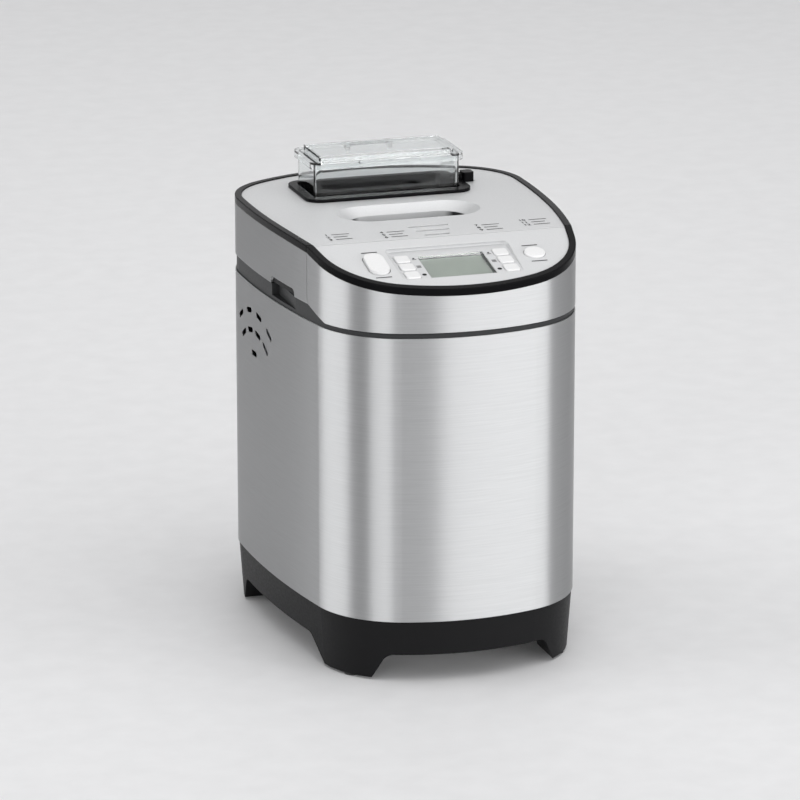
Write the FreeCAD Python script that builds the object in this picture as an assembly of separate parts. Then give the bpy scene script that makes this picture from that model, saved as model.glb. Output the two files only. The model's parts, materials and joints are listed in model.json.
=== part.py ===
import FreeCAD, Part
import math
import os

# Bread machine, millimetres. X to the right, the front faces -Y, Z up, origin on the floor under the middle.

V = FreeCAD.Vector
X_AXIS = V(1, 0, 0)
Y_AXIS = V(0, 1, 0)
Z_AXIS = V(0, 0, 1)
FAR = 400.0

# Plan outline: bowed front, rear and sides joined by tangent corner arcs
WIDTH = 225.0
DEPTH = 298.0
BOW_R = 165.0
SIDE_R = 770.0
FRONT_CORNER_R = 70.0
REAR_CORNER_R = 58.0
FRONT_Y = -DEPTH / 2
REAR_Y = DEPTH / 2
WIDEST_Y = REAR_Y - 89.0

# Heights
PAD_H = 2.0
ARCH_Z = 21.0
BASE_TOP = 47.0
WRAP_H = 214.0
LID_H = 56.5
WRAP_TOP = BASE_TOP + WRAP_H
SILL_FRONT_Z = WRAP_TOP + 4.0
SILL_REAR_Z = WRAP_TOP + 12.5
TOP_Z = WRAP_TOP + LID_H

# Top surface in side view: flat, a shallow bend down to the seam, then the sloping panel
PANEL_LENGTH = 79.0
BEND_LENGTH = 60.0
SEAM_Y = FRONT_Y + PANEL_LENGTH
BEND_Y = SEAM_Y + BEND_LENGTH
SEAM_DROP = 1.5
PANEL_TILT = 13.9
SEAM_GAP = 0.8
SILL_RUN = (SEAM_Y - 27.0, SEAM_Y - 2.0)

# Places of the chamber and the motor along the depth
CHAMBER_FRONT = 94.0
CHAMBER_REAR = 28.0
CHAMBER_Y = (FRONT_Y + CHAMBER_FRONT, REAR_Y - CHAMBER_REAR)
CHAMBER_HALF_Y = (CHAMBER_Y[1] - CHAMBER_Y[0]) / 2
PAN_Y = (CHAMBER_Y[0] + CHAMBER_Y[1]) / 2
MOTOR_Y = FRONT_Y + 45.0

# Sheet and wall thicknesses
WRAP_T = 0.8
BAND_T = 2.0
PLATE_T = 3.0
FRAME_WALL = 3.0
RIM_WALL = 2.4
LEDGE_T = 1.5
LEDGE_W = 10.0

# Clearances
FIT = 0.1
GAP = 0.3
SILL_GAP = 0.7
RUN_FIT = 0.05

# Trim bead round the top
TRIM_H = 4.5
TRIM_W = 5.0
TRIM_PROUD = 0.8

# Base
BASE_TOP_INSET = 0.8
BASE_FOOT_INSET = 4.0
BASE_WALL = 3.0
FLOOR_T = 3.0
LIP_H = 8.0
LEG_DEPTH = 26.0
FRONT_ARCH = (61.0, 71.0)
SIDE_ARCH_TOP = (FRONT_Y + 82.0, REAR_Y - 79.0)
SIDE_ARCH_FOOT = (FRONT_Y + 60.0, REAR_Y - 67.0)
ARCH_R = 8.0
PAD_R = 6.0
FOOT_SPOTS = ((79.0, FRONT_Y + 42.0), (84.0, REAR_Y - 45.0))
CHAMBER_POSTS = ((72.0, CHAMBER_Y[0] + 20.0), (70.0, CHAMBER_Y[1] - 28.0))
MOTOR_POSTS = ((44.0, MOTOR_Y - 21.0), (44.0, MOTOR_Y + 36.0))
POST_R = 5.0
SCREW_R = 2.0
SCREW_HEAD_R = 4.0
SCREW_HEAD_H = 2.4
SCREW_LENGTH = 18.0
FLOOR_VENTS = 5
FLOOR_VENT_STEP = 11.0
FLOOR_VENT_SIZE = (40.0, 4.0)

# Side vents: slots on arcs about one centre, as radius and angles from the vertical
VENT_CENTRE = (REAR_Y - 114.0, WRAP_TOP - 85.0)
VENT_ROWS = ((65.0, (-31.0, -10.3, 10.3, 31.0)), (50.0, (-31.0, -10.3, 10.3, 31.0)), (33.0, (0.0,)))
VENT_SLOT = (13.0, 4.0)

# Baking chamber and the mouth above it
CHAMBER_HALF_X = 85.0
CHAMBER_R = 22.0
CHAMBER_T = 1.0
CHAMBER_Z = BASE_TOP + 15.0
CHAMBER_FLANGE = 5.0
FLANGE_T = 1.2
FRAME_INSET = 1.0
FRAME_Z = WRAP_TOP - 8.0
DECK_Z = WRAP_TOP - 3.0
DECK_T = 3.0
MOUTH_MARGIN = 1.0
WIRE_OPENING = (60.0, MOTOR_Y - 24.0, MOTOR_Y + 24.0, 12.0)

# Finger notches at the sides of the lid
NOTCH_Y = (SEAM_Y + 21.0, SEAM_Y + 66.0)
NOTCH_TOP = SILL_REAR_Z + 5.5
NOTCH_R = 4.0
NOTCH_FLOOR = WRAP_TOP + 3.0
NOTCH_DEPTH = 9.0

# Rear hinge
HINGE_Y = REAR_Y - 4.0
HINGE_Z = SILL_REAR_Z - 6.0
HINGE_R = 4.0
HINGE_PIN_R = 1.5
HINGE_LUG = (24.0, 31.0)
HINGE_ARM_W = 7.0
HINGE_BAY = 56.0
HINGE_BAY_Y = HINGE_Y - 11.0

# Lid underside
LINER_Z = SILL_REAR_Z + 0.5
LINER_T = 3.0
PLUG_GAP = 2.0
PLUG_Z = SILL_REAR_Z - 7.5
PLUG_T = 2.0
SLEEVE_Z = PLUG_Z + PLUG_T
GASKET_W = 2.0

# Ingredient dispenser
BOX_HALF_X = 57.0
BOX_Y = (REAR_Y - 92.0, REAR_Y - 42.0)
BOX_R = 5.0
BOX_R_MIN = 1.5
BOX_T = 2.0
BOX_Z = TOP_Z - 31.5
BOX_TOP = TOP_Z + 26.5
BOX_FLOOR_T = 2.5
BOX_DOOR_HALF_X = 50.0
BOX_DOOR_Y = (BOX_Y[0] + 5.0, BOX_Y[1] - 6.0)
SEAT_HALF_X = BOX_HALF_X + 8.0
SEAT_Y = (BOX_Y[0] - 10.0, BOX_Y[1] + 6.0)
SEAT_R = 12.0
SEAT_H = 2.5
SLEEVE_T = 1.5
SLEEVE_GAP = 1.0
SLEEVE_STEP = 3.0
COVER_OVER = 3.0
COVER_T = 2.0
COVER_SKIRT = 3.3
COVER_PANEL_IN = 7.0
COVER_TOP = BOX_TOP + 6.0
COVER_TAB = (24.0, 4.0)
COVER_HINGE_Y = BOX_Y[1] + 5.0
COVER_HINGE_Z = BOX_TOP + 0.5
COVER_HINGE_R = 2.5
COVER_PIN_R = 1.0
COVER_KNUCKLE = 14.5
COVER_EAR_W = 3.5
FLAP_T = 2.0
FLAP_HINGE_Y = BOX_DOOR_Y[1] + 1.8
FLAP_HINGE_Z = BOX_Z - 2.1
FLAP_BARREL_R = 1.6
FLAP_PIN_R = 0.8
FLAP_BARREL_HALF = 43.5
FLAP_LUG_W = 3.0

# Viewing window
WINDOW_Y = SEAT_Y[0] - 41.5
WINDOW_RIM = (109.0, 48.0)
WINDOW_CLEAR = (90.0, 36.0)
WINDOW_DISH = 7.0
WINDOW_TUBE_T = 2.0
WINDOW_LEDGE_W = 3.0
GLASS_T = 3.0
OUTER_GLASS_Z = TOP_Z - 19.5

# Slots in the top of the lid, spread over the room between the seam and the window
SLOT_ROOM = WINDOW_Y - WINDOW_RIM[1] / 2 - SEAM_Y
SLOT_LENGTHS = (20.0, 26.0, 32.0)
SLOT_FIRST = 0.127
SLOT_PITCH = 0.218
TOP_SLOT_W = 3.4

# Dispenser release
SOLENOID_Y = BOX_Y[0] + 26.0
SOLENOID_Z = TOP_Z - 26.5
SOLENOID_X = (BOX_HALF_X + 9.0, BOX_HALF_X + 35.0)
COIL_R = 8.5
YOKE_T = 2.0
PLUNGER_R = 2.2
PLUNGER_X = (BOX_HALF_X + 4.4, BOX_HALF_X + 23.0)
LATCH_X = (BOX_HALF_X + 9.0, BOX_HALF_X + 18.0)
LATCH_HALF_W = 5.0
LATCH_H = 7.5
LATCH_NOSE_H = 3.6
LATCH_TRAVEL = 3.0
LATCH_TONGUE = (LATCH_X[0] + 2.0, LATCH_X[1] - 2.0)
LATCH_TONGUE_HALF_W = 2.3

# Control panel, in panel coordinates: u to the right, v up the slope from the seam, w out of the panel
POCKET_HALF_U = 45.0
POCKET_FRONT = 62.0
POCKET_LENGTH = 47.5
POCKET_DEPTH = 2.2
POCKET_FLOOR_T = 4.0
POCKET_SLOPE = 2.0
LCD_SIZE = (49.0, 36.0)
LCD_V = 20.0
LENS_T = 3.2
LENS_SINK = 0.3
KEY_SIZE = (11.0, 10.5)
KEY_U = 37.5
KEY_V = (7.5, 21.0, 34.0)
KEY_PROUD = 1.0
KEY_R = 2.0
KEY_EDGE_R = 0.6
FLANGE_W = 1.2
FLANGE_H = 1.2
START_SPOT = (61.0, -36.0)
START_R = 7.75
START_PROUD = 1.6
ROCKER_SPOT = (-59.0, -35.5)
ROCKER_SIZE = (30.0, 15.0)
ROCKER_PROUD = 2.0
ROCKER_PIVOT_W = -6.0
ROCKER_PIN_R = 1.2
ROCKER_PIN_L = 2.0
ROCKER_GAP = 0.6
BOARD_T = 1.6
BOARD_W = -16.0
BOARD_WIDE = (70.0, 12.0, 45.0)
BOARD_LONG = (48.0, 0.0, 45.0)
SWITCH_SIZE = 6.0
SWITCH_H = 3.5
SWITCH_STEM_R = 1.7
SWITCH_STEM_H = 1.3
BUTTON_REST = 1.4
BOARD_POST = (28.2, 1.8)

# Drive
SHAFT_R = 5.0
SHAFT_Z = (ARCH_Z + 6.0, CHAMBER_Z + 8.0)
BUSH_R = 9.0
BUSH_FLANGE_R = 22.0
BUSH_Z = (CHAMBER_Z - 20.0, CHAMBER_Z + 4.0)
BUSH_FLANGE_T = 3.0
BIG_PULLEY_R = 40.0
SMALL_PULLEY_R = 8.0
PULLEY_Z = (ARCH_Z + 8.0, ARCH_Z + 16.0)
PULLEY_CHEEK = 1.5
PULLEY_CHEEK_R = 3.5
BELT_T = 2.0
DOG_R = 15.0
DOG_Z = (CHAMBER_Z + 4.5, CHAMBER_Z + 8.5)
DOG_LUG = (9.0, 14.0, 4.0, 7.5)

# Motor
MOTOR_R = 33.0
SHIELD_R = 27.0
SHIELD_H = 20.5
SHIELD_T = 3.0
MOTOR_SHAFT_R = 3.0
BRACKET_Z = BASE_TOP + 8.0
BRACKET_T = 2.5
BRACKET_HALF_X = 52.0
BRACKET_Y = (MOTOR_Y - 30.0, CHAMBER_Y[0] - 5.0)
STATOR_H = 40.0
STATOR_FOOT = BRACKET_Z + BRACKET_T + SHIELD_H
STATOR_Z = (STATOR_FOOT, STATOR_FOOT + STATOR_H)
MOTOR_FAN_R = 24.0
MOTOR_FAN_H = 8.0
FAN_BLADES = 9
FAN_T = 1.0
BLADE_HALF_T = 0.6

# Pan and kneader
PAN_HALF = (CHAMBER_HALF_X - 19.0, CHAMBER_HALF_Y - 14.0)
PAN_DRAFT = 5.0
PAN_Z = CHAMBER_Z + 24.0
PAN_RIM_Z = DECK_Z - 32.0
PAN_T = 1.5
PAN_R = 28.0
PAN_LIP = 2.5
SKIRT_R = 46.0
SKIRT_T = 2.5
SOCKET_PLATE_R = 56.0
SOCKET_PLATE_T = 2.0
SOCKET_H = 13.0
SOCKET_T = 3.0
SEAT_GAP = 0.2
EAR_HALF_Y = 9.0
EAR_H = 18.0
EAR_T = 2.6
BAIL_R = 2.0
BAIL_REACH = CHAMBER_HALF_Y - 8.0
BAIL_X = PAN_HALF[0] + 5.4
BAIL_Z = PAN_RIM_Z - 8.0
BAIL_BEND = 14.0
SPINDLE_R = 4.0
SPINDLE_Z = (CHAMBER_Z + 9.8, PAN_Z + 26.0)
PAN_BUSH_R = 9.0
PAN_BUSH_FLANGE_R = 13.0
PAN_BUSH_FLANGE_T = 3.0
PAN_BUSH_DROP = 5.0
WING_REACH = 14.0
WING_HALF_T = 3.0
WING_Z = (CHAMBER_Z + 10.0, CHAMBER_Z + 16.5)
PADDLE_HUB_R = 8.5
PADDLE_H = 19.0
PADDLE_REACH = 45.0
PADDLE_T = 5.0

# Heating element
ELEMENT_R = 3.25
ELEMENT_HALF = (CHAMBER_HALF_X - 12.0, CHAMBER_HALF_Y - 12.0)
ELEMENT_Z = CHAMBER_Z + 18.0
ELEMENT_BEND = 25.0
TERMINAL_X = 15.0
TERMINAL_BEND = 10.0
TERMINAL_Y = CHAMBER_Y[0] - 11.0
BUSHING_R = 4.5
BUSHING_FLANGE_R = 7.0
CLIP_W = 6.0
CLIP_T = 1.2
SENSOR_X = 40.0
SENSOR_Z = CHAMBER_Z + 88.0
SENSOR_R = 2.5
SENSOR_ENDS = (8.0, 7.0)
SENSOR_FLANGE_T = 2.0

# Mains side
POWER_BOARD_X = 44.0
POWER_BOARD_Y = (MOTOR_Y - 18.0, MOTOR_Y + 38.0)
POWER_BOARD_H = 80.0
TRANSFORMER_SIZE = (16.0, 30.0, 28.0)
TRANSFORMER_YZ = (20.0, 6.0)
RELAY_SIZE = (12.0, 20.0, 16.0)
RELAY_YZ = (24.0, 46.0)
SMOOTHING_R = 5.0
SMOOTHING_H = 12.0
SMOOTHING_YZ = (12.0, 50.0)
CAPACITOR_R = 14.0
CAPACITOR_H = 52.0
CAPACITOR_X = -66.0
CAPACITOR_Y = MOTOR_Y + 12.0
CAPACITOR_EDGE_R = 2.0
GLAND_Z = ARCH_Z + 13.0
GLAND_R = 7.0
GLAND_FLANGE_R = 9.5
GLAND_BORE_R = 3.5
GLAND_FACE_Y = REAR_Y - 2.8
GLAND_FLANGE_T = 2.0


# Plane geometry helpers

def circle_meet(c1, r1, c2, r2, upper):
    """The point with the larger or the smaller Y where two circles meet."""
    d = math.dist(c1, c2)
    along = (r1 ** 2 - r2 ** 2 + d ** 2) / (2 * d)
    across = math.sqrt(r1 ** 2 - along ** 2)
    ux = (c2[0] - c1[0]) / d
    uy = (c2[1] - c1[1]) / d
    points = [(c1[0] + along * ux - s * across * uy, c1[1] + along * uy + s * across * ux) for s in (-1, 1)]
    return sorted(points, key=lambda p: p[1])[1 if upper else 0]


def bearing(centre, point):
    return math.degrees(math.atan2(point[1] - centre[1], point[0] - centre[0]))


def mirrored(spans):
    """The same arcs on the other side of X = 0, run the same way round."""
    return [((-c[0], c[1]), r, 180 - a1, 180 - a0) for c, r, a0, a1 in reversed(spans)]


FRONT_C = (0.0, BOW_R - DEPTH / 2)
REAR_C = (0.0, DEPTH / 2 - BOW_R)
SIDE_C = (WIDTH / 2 - SIDE_R, WIDEST_Y)
FRONT_CORNER_C = circle_meet(FRONT_C, BOW_R - FRONT_CORNER_R, SIDE_C, SIDE_R - FRONT_CORNER_R, False)
REAR_CORNER_C = circle_meet(REAR_C, BOW_R - REAR_CORNER_R, SIDE_C, SIDE_R - REAR_CORNER_R, True)


def outline(offset, z):
    """The plan outline, moved outwards by offset, at height z."""
    a1 = bearing(FRONT_C, FRONT_CORNER_C)
    a2 = bearing(SIDE_C, FRONT_CORNER_C)
    a3 = bearing(SIDE_C, REAR_CORNER_C)
    a4 = bearing(REAR_C, REAR_CORNER_C)
    right = [
        (FRONT_CORNER_C, FRONT_CORNER_R, a1, a2),
        (SIDE_C, SIDE_R, a2, a3),
        (REAR_CORNER_C, REAR_CORNER_R, a3, a4),
    ]
    spans = [(FRONT_C, BOW_R, -180 - a1, a1)] + right
    spans += [(REAR_C, BOW_R, a4, 180 - a4)] + mirrored(right)
    edges = []
    for centre, radius, start, end in spans:
        circle = Part.Circle(V(centre[0], centre[1], z), Z_AXIS, radius + offset)
        edges.append(Part.Arc(circle, math.radians(start), math.radians(end)).toShape())
    return Part.Wire(edges)


def joined(arcs):
    """A closed wire from arcs in order, with straight runs between them."""
    edges = []
    for here, after in zip(arcs, arcs[1:] + arcs[:1]):
        edges.append(here)
        end = here.lastVertex().Point
        start = after.firstVertex().Point
        if end.distanceToPoint(start) > 1e-6:
            edges.append(Part.makeLine(end, start))
    return Part.Wire(edges)


def rounded_rect(x0, x1, y0, y1, r, z):
    corners = ((x1 - r, y0 + r, -90), (x1 - r, y1 - r, 0), (x0 + r, y1 - r, 90), (x0 + r, y0 + r, 180))
    return joined([Part.makeCircle(r, V(x, y, z), Z_AXIS, a, a + 90) for x, y, a in corners])


def stadium(x, y, length, width, z):
    r = width / 2
    reach = length / 2 - r
    right = Part.makeCircle(r, V(x + reach, y, z), Z_AXIS, -90, 90)
    left = Part.makeCircle(r, V(x - reach, y, z), Z_AXIS, 90, 270)
    return joined([right, left])


def polygon(points):
    return Part.Face(Part.makePolygon(points + points[:1]))


# Solid helpers

def raised(wire, height):
    return Part.Face(wire).extrude(V(0, 0, height))


def prism(offset, z0, z1):
    return raised(outline(offset, z0), z1 - z0)


def band(outer, inner, z0, z1):
    return prism(outer, z0, z1).cut(prism(inner, z0, z1))


def block(x0, x1, y0, y1, z0, z1):
    return Part.makeBox(x1 - x0, y1 - y0, z1 - z0, V(x0, y0, z0))


def rounded_block(x0, x1, y0, y1, r, z0, z1):
    return raised(rounded_rect(x0, x1, y0, y1, r, z0), z1 - z0)


def rod(r, z0, z1, x=0.0, y=0.0):
    return Part.makeCylinder(r, z1 - z0, V(x, y, z0))


def cross_rod(r, x0, x1, y, z):
    return Part.makeCylinder(r, x1 - x0, V(x0, y, z), X_AXIS)


def deep_rod(r, y0, y1, x, z):
    return Part.makeCylinder(r, y1 - y0, V(x, y0, z), Y_AXIS)


def tube(r_out, r_in, z0, z1, x=0.0, y=0.0):
    return rod(r_out, z0, z1, x, y).cut(rod(r_in, z0, z1, x, y))


def both_sides(shape):
    return [shape, shape.mirror(V(0, 0, 0), X_AXIS)]


def fuse(shapes):
    return shapes[0].multiFuse(shapes[1:]).removeSplitter()


def cut_all(shape, tools):
    for tool in tools:
        shape = shape.cut(tool)
    return shape


def rounded_path(points, radii):
    """A wire through points, with an arc of the given radius at each inner point."""
    edges = []
    start = points[0]
    for before, corner, after, r in zip(points, points[1:], points[2:], radii):
        into = (corner - before).normalize()
        out = (after - corner).normalize()
        reach = r * math.tan(into.getAngle(out) / 2)
        first = corner - into * reach
        last = corner + out * reach
        middle = (out - into).normalize()
        centre = corner + middle * (r / math.cos(into.getAngle(out) / 2))
        edges.append(Part.makeLine(start, first))
        edges.append(Part.Arc(first, centre - middle * r, last).toShape())
        start = last
    edges.append(Part.makeLine(start, points[-1]))
    return Part.Wire(edges)


def round_bar(path, r):
    """A round bar along a path that starts straight."""
    start = path.Edges[0].firstVertex().Point
    heading = path.Edges[0].tangentAt(path.Edges[0].FirstParameter)
    section = Part.Wire(Part.makeCircle(r, start, heading))
    return path.makePipeShell([section], True, False)


# Top surface and the split between the lid and the control panel

def side_solid(edges):
    return Part.Face(Part.Wire(edges)).translated(V(-FAR, 0, 0)).extrude(V(2 * FAR, 0, 0))


def under_top(drop):
    """All that lies below the top surface, lowered by drop."""
    z = TOP_Z - drop
    rear = V(0, FAR, z)
    bend = V(0, BEND_Y, z)
    middle = V(0, (BEND_Y + SEAM_Y) / 2, z - SEAM_DROP / 4)
    seam = V(0, SEAM_Y, z - SEAM_DROP)
    front = V(0, -FAR, seam.z - (FAR + SEAM_Y) * math.tan(math.radians(PANEL_TILT)))
    low_front = V(0, -FAR, 0)
    low_rear = V(0, FAR, 0)
    arc = Part.Arc(bend, middle, seam).toShape()
    run = [seam, front, low_front, low_rear, rear, bend]
    return side_solid([arc] + [Part.makeLine(p, q) for p, q in zip(run, run[1:])])


def below_sill(lift):
    """All that lies below the edge where the control housing and the lid begin, raised by lift."""
    run = [
        V(0, -FAR, 0),
        V(0, -FAR, SILL_FRONT_Z + lift),
        V(0, SILL_RUN[0], SILL_FRONT_Z + lift),
        V(0, SILL_RUN[1], SILL_REAR_Z + lift),
        V(0, FAR, SILL_REAR_Z + lift),
        V(0, FAR, 0),
    ]
    return side_solid([Part.makeLine(p, q) for p, q in zip(run, run[1:] + run[:1])])


def rear_half(shape):
    return shape.common(block(-FAR, FAR, SEAM_Y + SEAM_GAP / 2, FAR, 0, FAR))


def front_half(shape):
    return shape.common(block(-FAR, FAR, -FAR, SEAM_Y - SEAM_GAP / 2, 0, FAR))


def top_layer(offset, upper, lower):
    """A slab inside the outline between two depths below the top surface."""
    return prism(offset, BASE_TOP, FAR).common(under_top(upper)).cut(under_top(lower))


PANEL = FreeCAD.Placement(V(0, SEAM_Y, TOP_Z - SEAM_DROP), FreeCAD.Rotation(X_AXIS, PANEL_TILT))
POCKET_ANGLE = math.degrees(math.atan(POCKET_DEPTH / POCKET_LENGTH))
POCKET = PANEL.multiply(FreeCAD.Placement(V(0, -POCKET_FRONT, 0), FreeCAD.Rotation(X_AXIS, -POCKET_ANGLE)))
SWITCH_TOP = BOARD_W + BOARD_T + SWITCH_H + SWITCH_STEM_H
KEY_FOOT = SWITCH_TOP + BUTTON_REST


def on_panel(shape):
    return shape.transformed(PANEL.toMatrix())


def in_pocket(shape):
    return shape.transformed(POCKET.toMatrix())


def pocket_place(u, v):
    """A point of the panel's surface in pocket coordinates."""
    return POCKET.inverse().multVec(PANEL.multVec(V(u, v, 0)))


# Housing

def round_crown(arch):
    """An arch cutter with its two long upper edges rounded."""
    crown = [edge for edge in arch.Edges if edge.BoundBox.ZMin > ARCH_Z - FIT and edge.Length > FAR]
    return arch.makeFillet(ARCH_R, crown)


def base():
    foot = outline(-BASE_FOOT_INSET, PAD_H)
    top = outline(-BASE_TOP_INSET, BASE_TOP)
    shell = Part.makeLoft([foot, top], True, True)
    inner = -(BASE_FOOT_INSET + BASE_WALL)
    floor_top = ARCH_Z + FLOOR_T
    shell = shell.cut(prism(inner, floor_top, BASE_TOP))
    shell = shell.cut(prism(-LEG_DEPTH, 0, ARCH_Z))
    front_arch = polygon([
        V(-FRONT_ARCH[1], -FAR, 0), V(FRONT_ARCH[1], -FAR, 0),
        V(FRONT_ARCH[0], -FAR, ARCH_Z), V(-FRONT_ARCH[0], -FAR, ARCH_Z),
    ]).extrude(V(0, 2 * FAR, 0))
    side_arch = polygon([
        V(-FAR, SIDE_ARCH_FOOT[0], 0), V(-FAR, SIDE_ARCH_FOOT[1], 0),
        V(-FAR, SIDE_ARCH_TOP[1], ARCH_Z), V(-FAR, SIDE_ARCH_TOP[0], ARCH_Z),
    ]).extrude(V(2 * FAR, 0, 0))
    shell = cut_all(shell, [round_crown(front_arch), round_crown(side_arch)])
    lip_out = -(WRAP_T + FIT)
    lip = band(lip_out, lip_out - BASE_WALL, BASE_TOP, BASE_TOP + LIP_H)
    posts = []
    for spots, height in ((CHAMBER_POSTS, CHAMBER_Z), (MOTOR_POSTS, BRACKET_Z)):
        for x, y in spots:
            posts += both_sides(rod(POST_R, ARCH_Z, height, x, y))
    shell = fuse([shell, lip] + posts)
    for x, y in CHAMBER_POSTS + MOTOR_POSTS:
        shell = cut_all(shell, both_sides(rod(SCREW_R, ARCH_Z, ARCH_Z + SCREW_LENGTH, x, y)))
    length, width = FLOOR_VENT_SIZE
    for row in range(FLOOR_VENTS):
        y = MOTOR_Y + (row - (FLOOR_VENTS - 1) / 2) * FLOOR_VENT_STEP
        shell = shell.cut(raised(stadium(0, y, length, width, ARCH_Z), FLOOR_T))
    gland = deep_rod(GLAND_R, 0, FAR, 0, GLAND_Z)
    spot_face = deep_rod(GLAND_FLANGE_R + GAP, GLAND_FACE_Y, FAR, 0, GLAND_Z)
    return cut_all(shell, [gland.common(block(-FAR, FAR, DEPTH / 4, FAR, 0, FAR)), spot_face])


def rubber_feet():
    pads = []
    for x, y in FOOT_SPOTS:
        pads += both_sides(rod(PAD_R, 0, PAD_H, x, y))
    return Part.makeCompound(pads)


def base_screws():
    screws = []
    for x, y in CHAMBER_POSTS + MOTOR_POSTS:
        shank = rod(SCREW_R, ARCH_Z, ARCH_Z + SCREW_LENGTH, x, y)
        head = rod(SCREW_HEAD_R, ARCH_Z - SCREW_HEAD_H, ARCH_Z, x, y)
        screws += both_sides(fuse([shank, head]))
    return Part.makeCompound(screws)


def side_vent_cutters():
    cutters = []
    for radius, angles in VENT_ROWS:
        for angle in angles:
            s = math.sin(math.radians(angle))
            c = math.cos(math.radians(angle))
            slot = raised(stadium(0, 0, VENT_SLOT[0], VENT_SLOT[1], 0), 2 * FAR)
            turn = FreeCAD.Rotation(V(0, c, -s), V(0, s, c), X_AXIS, "XYZ")
            spot = V(-FAR, VENT_CENTRE[0] + radius * s, VENT_CENTRE[1] + radius * c)
            cutters.append(slot.transformed(FreeCAD.Placement(spot, turn).toMatrix()))
    return cutters


def steel_wrap():
    return cut_all(band(0, -WRAP_T, BASE_TOP, WRAP_TOP), side_vent_cutters())


def mouth(margin, z0, z1):
    grow = MOUTH_MARGIN + margin
    return rounded_block(
        -CHAMBER_HALF_X - grow, CHAMBER_HALF_X + grow,
        CHAMBER_Y[0] - grow, CHAMBER_Y[1] + grow, CHAMBER_R + grow, z0, z1)


def top_frame():
    deck_top = DECK_Z + DECK_T
    wall = band(-FRAME_INSET, -FRAME_INSET - FRAME_WALL, FRAME_Z, SILL_REAR_Z)
    bay = block(-HINGE_BAY, HINGE_BAY, HINGE_BAY_Y, FAR, deck_top, FAR)
    wall = wall.cut(bay)
    bay_half = HINGE_BAY + FRAME_WALL
    bay_wall = block(-bay_half, bay_half, HINGE_BAY_Y - FRAME_WALL, HINGE_BAY_Y, DECK_Z, SILL_REAR_Z)
    deck = prism(-FRAME_INSET, DECK_Z, deck_top)
    rim = mouth(FRAME_WALL, DECK_Z, SILL_REAR_Z)
    half_width = WIDTH / 2
    notch_pad = block(
        half_width - NOTCH_DEPTH - 2 * FRAME_WALL, half_width,
        NOTCH_Y[0] - FRAME_WALL, NOTCH_Y[1] + FRAME_WALL, DECK_Z, SILL_REAR_Z)
    pads = [pad.common(prism(-FRAME_INSET, DECK_Z, SILL_REAR_Z)) for pad in both_sides(notch_pad)]
    frame = fuse([wall, bay_wall, deck, rim] + pads).common(below_sill(-SILL_GAP))
    wide, y0, y1, r = WIRE_OPENING
    frame = cut_all(frame, [mouth(0, 0, FAR), rounded_block(-wide, wide, y0, y1, r, DECK_Z, deck_top)])
    notch = block(half_width - NOTCH_DEPTH, FAR, NOTCH_Y[0], NOTCH_Y[1], NOTCH_FLOOR, FAR)
    frame = cut_all(frame, both_sides(notch))
    lug = cross_rod(HINGE_R, HINGE_LUG[0], HINGE_LUG[1], HINGE_Y, HINGE_Z)
    foot = block(HINGE_LUG[0], HINGE_LUG[1], HINGE_BAY_Y, HINGE_Y - FRAME_INSET, DECK_Z, HINGE_Z)
    lugs = both_sides(lug) + both_sides(foot)
    pin = cross_rod(HINGE_PIN_R, -FAR, FAR, HINGE_Y, HINGE_Z)
    return fuse([frame] + lugs).cut(pin)


def hinge_pins():
    end = HINGE_LUG[1] + GAP + HINGE_ARM_W
    return Part.makeCompound(both_sides(cross_rod(HINGE_PIN_R, HINGE_LUG[0], end, HINGE_Y, HINGE_Z)))


def cord_gland():
    neck = deep_rod(GLAND_R, GLAND_FACE_Y - 3 * BASE_WALL, GLAND_FACE_Y, 0, GLAND_Z)
    flange = deep_rod(GLAND_FLANGE_R, GLAND_FACE_Y, GLAND_FACE_Y + GLAND_FLANGE_T, 0, GLAND_Z)
    return fuse([neck, flange]).cut(deep_rod(GLAND_BORE_R, 0, FAR, 0, GLAND_Z))


# Rim frame shared by the lid and the control housing

def rim_frame():
    """Inner wall behind the steel band, with a ledge that carries the trim bead and the top plate."""
    outer = -(BAND_T + FIT)
    wall = band(outer, outer - RIM_WALL, WRAP_TOP, FAR).common(under_top(TRIM_H))
    ledge_low = top_layer(outer, TRIM_H, TRIM_H + LEDGE_T).cut(prism(-LEDGE_W, BASE_TOP, FAR))
    step = top_layer(-TRIM_W - FIT, PLATE_T, TRIM_H + LEDGE_T).cut(prism(-LEDGE_W, BASE_TOP, FAR))
    return fuse([wall, ledge_low, step])


def seam_wall(y, z0):
    wall = fuse([
        prism(-(BAND_T + FIT), z0, FAR).common(under_top(TRIM_H)),
        prism(-(TRIM_W + FIT), z0, FAR).common(under_top(PLATE_T)),
    ])
    return wall.common(block(-FAR, FAR, y, y + RIM_WALL, 0, FAR))


def steel_band():
    return band(0, -BAND_T, WRAP_TOP, FAR).common(under_top(TRIM_H)).cut(below_sill(0))


def trim_bead():
    return top_layer(0, -TRIM_PROUD, TRIM_H).cut(prism(-TRIM_W, BASE_TOP, FAR))


# Control housing

def control_housing():
    frame = fuse([rim_frame(), seam_wall(SEAM_Y - SEAM_GAP / 2 - RIM_WALL, WRAP_TOP)])
    return front_half(frame).cut(below_sill(-SILL_GAP))


def control_band():
    return front_half(steel_band())


def control_trim():
    return front_half(trim_bead())


def key_spots():
    return [(side * KEY_U, v) for side in (-1, 1) for v in KEY_V]


def key_cap(u, v, grow, w0, w1):
    half_u = KEY_SIZE[0] / 2 + grow
    half_v = KEY_SIZE[1] / 2 + grow
    return in_pocket(rounded_block(u - half_u, u + half_u, v - half_v, v + half_v, KEY_R + grow, w0, w1))


def lcd_plate(grow, w0, w1):
    half_u = LCD_SIZE[0] / 2 + grow
    half_v = LCD_SIZE[1] / 2 + grow
    return in_pocket(block(-half_u, half_u, LCD_V - half_v, LCD_V + half_v, w0, w1))


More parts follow.
